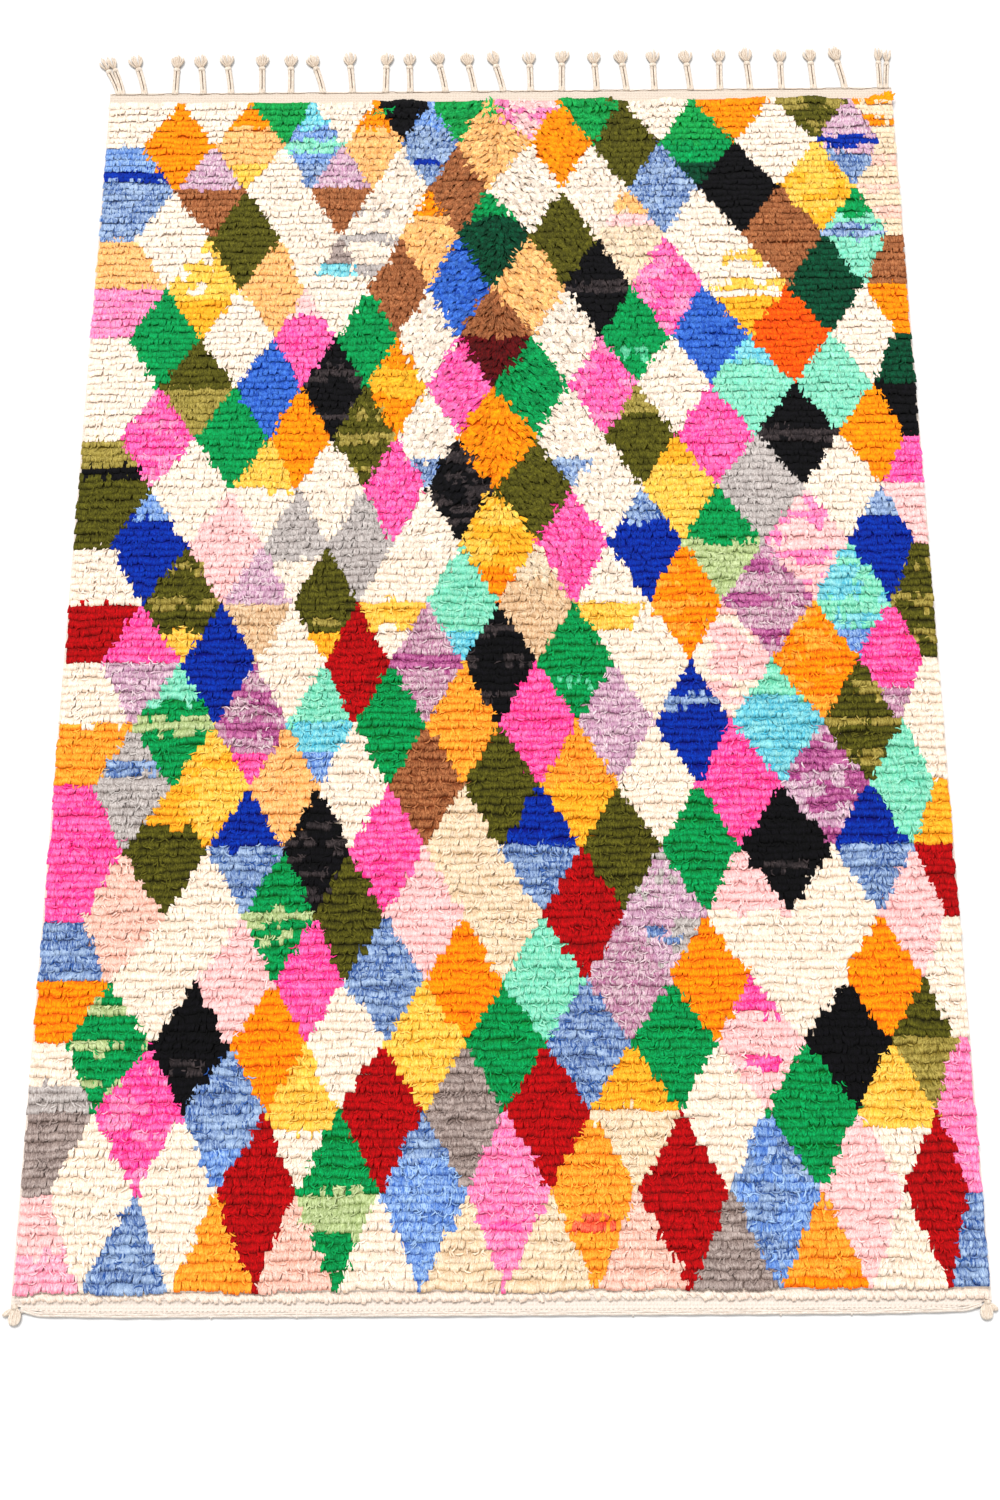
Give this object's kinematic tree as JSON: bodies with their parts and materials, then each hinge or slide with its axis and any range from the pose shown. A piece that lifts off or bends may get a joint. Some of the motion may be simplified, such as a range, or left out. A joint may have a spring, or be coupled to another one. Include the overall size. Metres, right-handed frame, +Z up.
{
  "type": "boujad rug",
  "caption": "Hand-knotted wool pile rug of coloured lozenges, lying flat, with a braided fringe at one end and a corded edge with corner tassels at the other.",
  "frame": {"origin": "middle of the whole rug's footprint, fringe and tassels included, on the surface it lies on", "axes": "+Z up out of the pile, +Y along the length towards the braided fringe, +X across the width"},
  "size_m": [1.6452, 2.5974, 0.0192],
  "materials": {
    "pile_wool": "matt hand-spun wool pile in lozenges of many colours, with creases between the rows of knots",
    "ecru_yarn": "matt ecru cotton and wool yarn, braided or twined"
  },
  "bodies": {
    "root": {"rug": "pile_wool", "fringe": "ecru_yarn", "heading_cord": "ecru_yarn", "tassel_left": "ecru_yarn", "tassel_right": "ecru_yarn"}
  },
  "joints": []
}
